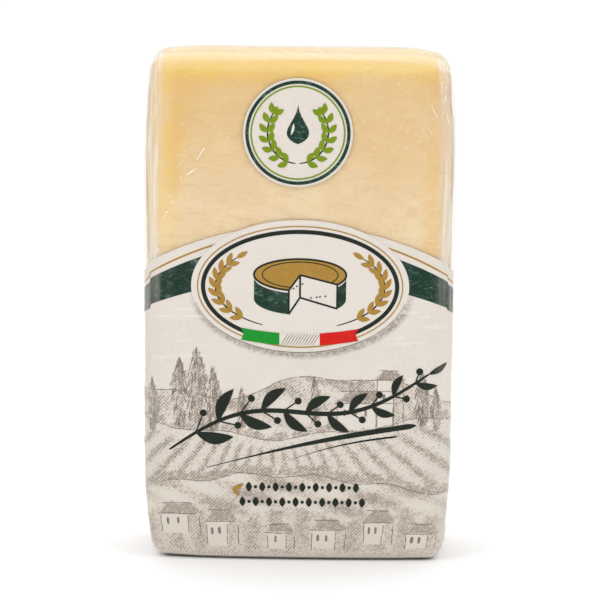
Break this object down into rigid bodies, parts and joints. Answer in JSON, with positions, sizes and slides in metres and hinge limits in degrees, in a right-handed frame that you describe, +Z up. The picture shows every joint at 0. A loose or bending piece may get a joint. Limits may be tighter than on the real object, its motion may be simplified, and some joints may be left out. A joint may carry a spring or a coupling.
{
  "type": "packed hard cheese block",
  "caption": "Upright block of hard grating cheese with rounded edges, shrink packed in film that is clear above and printed below.",
  "frame": {"origin": "middle of the bounding box at the base, on the surface the pack stands on", "axes": "+Z up along the pack's height, +X to the right of someone who faces the printed side, -Y out of the printed side"},
  "size_m": [0.0668, 0.0322, 0.1105],
  "materials": {
    "packed_cheese": "pale golden cheese under glossy clear film",
    "cheese_body": "pale straw-gold hard cheese, finely grained cut faces, deeper gold along the edges",
    "clear_film": "clear glossy shrink film with fine creases",
    "label_ground": "off-white opaque print under glossy film",
    "dark_green_print": "very dark green print under glossy film",
    "gold_print": "ochre gold print under glossy film",
    "leaf_green_print": "leaf green print under glossy film",
    "flag_green_print": "bright green print under glossy film",
    "flag_red_print": "bright red print under glossy film",
    "pencil_print": "greige pencil-like hatching printed under glossy film"
  },
  "bodies": {
    "root": {"cheese_pack": "packed_cheese"}
  },
  "joints": []
}
